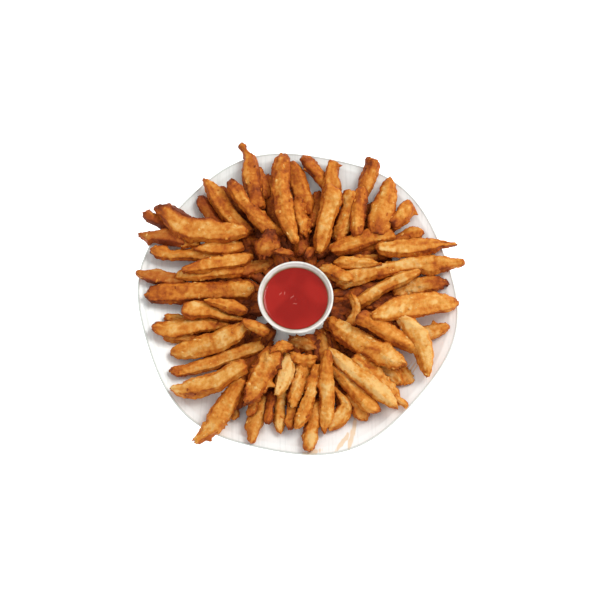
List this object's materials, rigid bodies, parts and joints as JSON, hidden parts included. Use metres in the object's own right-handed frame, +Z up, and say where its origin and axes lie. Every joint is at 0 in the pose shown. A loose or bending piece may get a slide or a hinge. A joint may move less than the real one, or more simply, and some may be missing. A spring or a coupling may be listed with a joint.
{
  "type": "plate of french fries with a pot of ketchup",
  "caption": "Thick-cut french fries heaped in a ring round a small pot of ketchup, on a shallow plate with a softly lobed rim.",
  "frame": {"origin": "on the surface the plate stands on, below the middle of the whole footprint", "axes": "+Z up; +Y towards the far side of the plate as the picture shows it, +X to its right"},
  "size_m": [0.2876, 0.2827, 0.0461],
  "materials": {
    "plate_glaze": "glazed porcelain, smooth and glossy",
    "fried_potato": "fried golden brown, dry and slightly blistered",
    "pot_glaze": "glazed porcelain, smooth and glossy",
    "ketchup": "wet and glossy"
  },
  "bodies": {
    "root": {"plate": "plate_glaze", "fries": "fried_potato", "dip_pot": "pot_glaze", "ketchup": "ketchup"}
  },
  "joints": []
}
